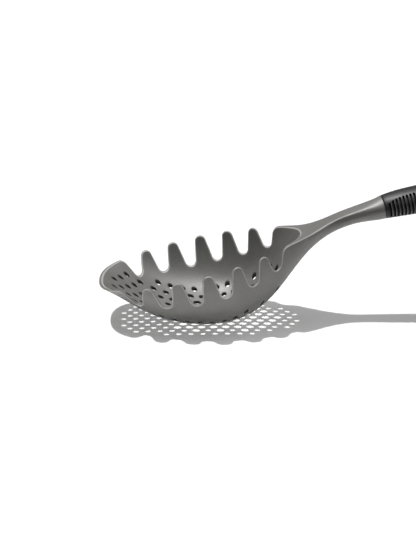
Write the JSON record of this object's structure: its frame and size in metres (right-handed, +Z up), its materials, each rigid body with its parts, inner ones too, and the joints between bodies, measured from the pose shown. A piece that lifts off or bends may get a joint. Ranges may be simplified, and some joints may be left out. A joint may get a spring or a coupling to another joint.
{
  "type": "pasta scoop",
  "caption": "Pasta scoop: a perforated bowl with blunt teeth along both sides of its rim, on a rising neck that ends in a soft grip with finned sides and a hang hole.",
  "frame": {"origin": "on the flat under the bowl's belly that the scoop stands on, on the land between the two middle drain holes", "axes": "+X from the bowl's lip towards the grip, +Y across the scoop, +Z up; the rim and the grip rise towards +X"},
  "size_m": [0.3183, 0.0896, 0.1041],
  "materials": {
    "grey_nylon": "grey nylon with a fine moulded grain, slightly glossy on the neck",
    "core_plastic": "plain black moulding, hidden inside the grip",
    "soft_black": "soft black moulding with a satin surface"
  },
  "bodies": {
    "root": {"scoop_head": "grey_nylon", "handle_core": "core_plastic", "soft_grip": "soft_black"}
  },
  "joints": []
}
